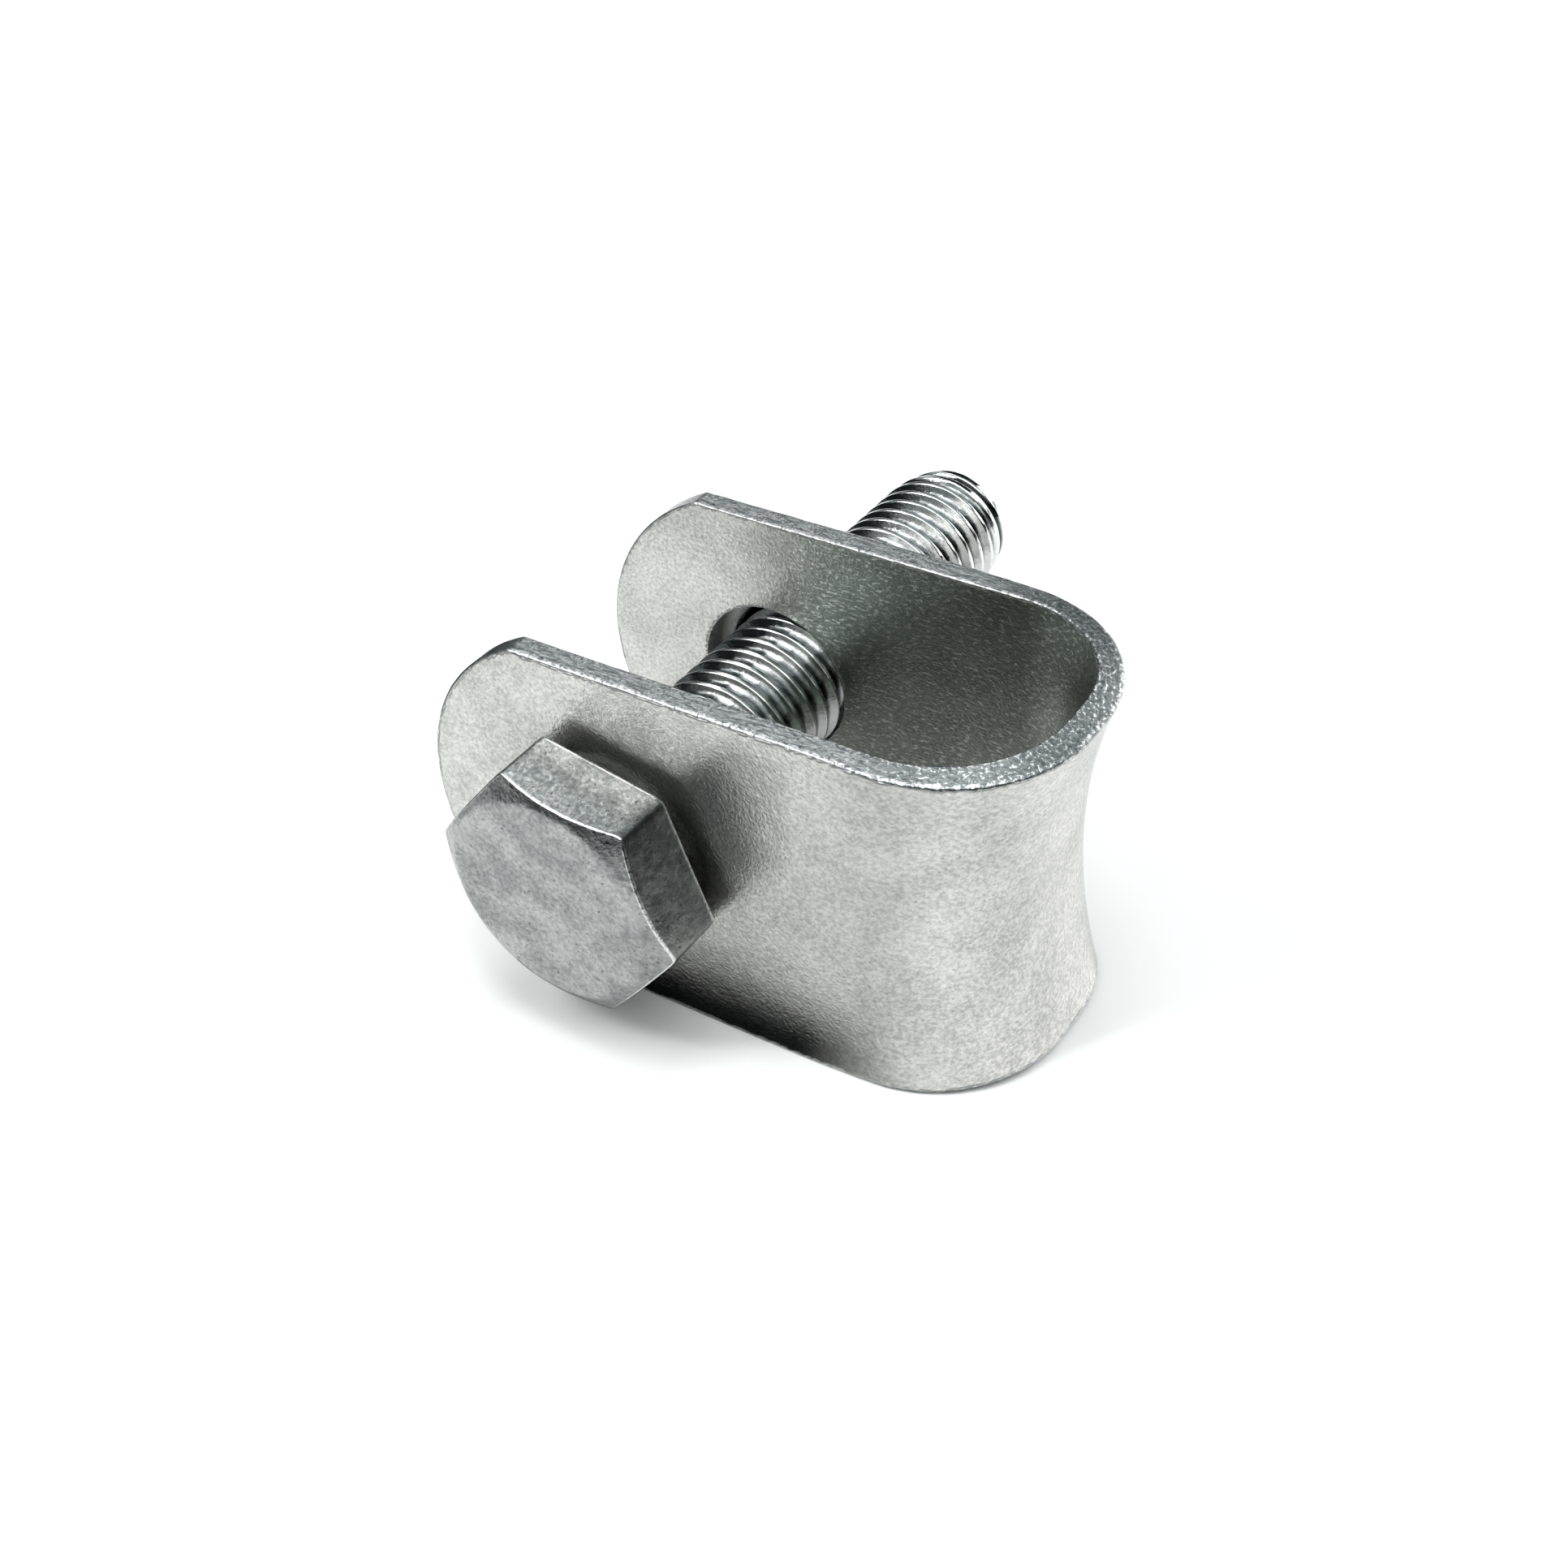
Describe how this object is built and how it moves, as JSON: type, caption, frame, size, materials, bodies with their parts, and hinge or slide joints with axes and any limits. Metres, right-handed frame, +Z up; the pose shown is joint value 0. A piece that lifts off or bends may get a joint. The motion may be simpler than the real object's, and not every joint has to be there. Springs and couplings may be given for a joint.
{
  "type": "cable suspension clamp",
  "caption": "U-shaped zinc-plated steel strap with a hollowed saddle bend for the loop of a line cable's grip, closed by a hex bolt and nut through both legs",
  "frame": {"origin": "on the common axis of the two leg holes, midway between the legs, at mid height of the strip", "axes": "+X from the holes to the saddle bend, +Y from the bolt's head to its tip, +Z up across the strip"},
  "size_m": [0.0511, 0.0615, 0.03],
  "materials": {
    "strap_zinc": "dull bright zinc plate with a fine mottled grain",
    "bolt_zinc": "bright zinc plate over a forged head and rolled thread",
    "nut_zinc": "bright zinc plate"
  },
  "bodies": {
    "strap": {"clevis_strap": "strap_zinc"},
    "bolt": {"hex_bolt": "bolt_zinc"},
    "nut": {"hex_nut": "nut_zinc"}
  },
  "joints": [
    {"name": "bolt_turn", "type": "hinge", "parent": "strap", "child": "bolt", "pos_m": [0.00065, 0, -0.00038], "axis": [-0.007, -0.9999, -0.012], "range_deg": [0, 4320]},
    {"name": "nut_travel", "type": "slide", "parent": "strap", "child": "nut", "axis": [0.007, 0.9999, 0.012], "range_m": [0, 0.0211]}
  ],
  "couplings": [
    {"joint": "nut_travel", "follows": "bolt_turn", "m_per_rad": 0.00027852}
  ]
}
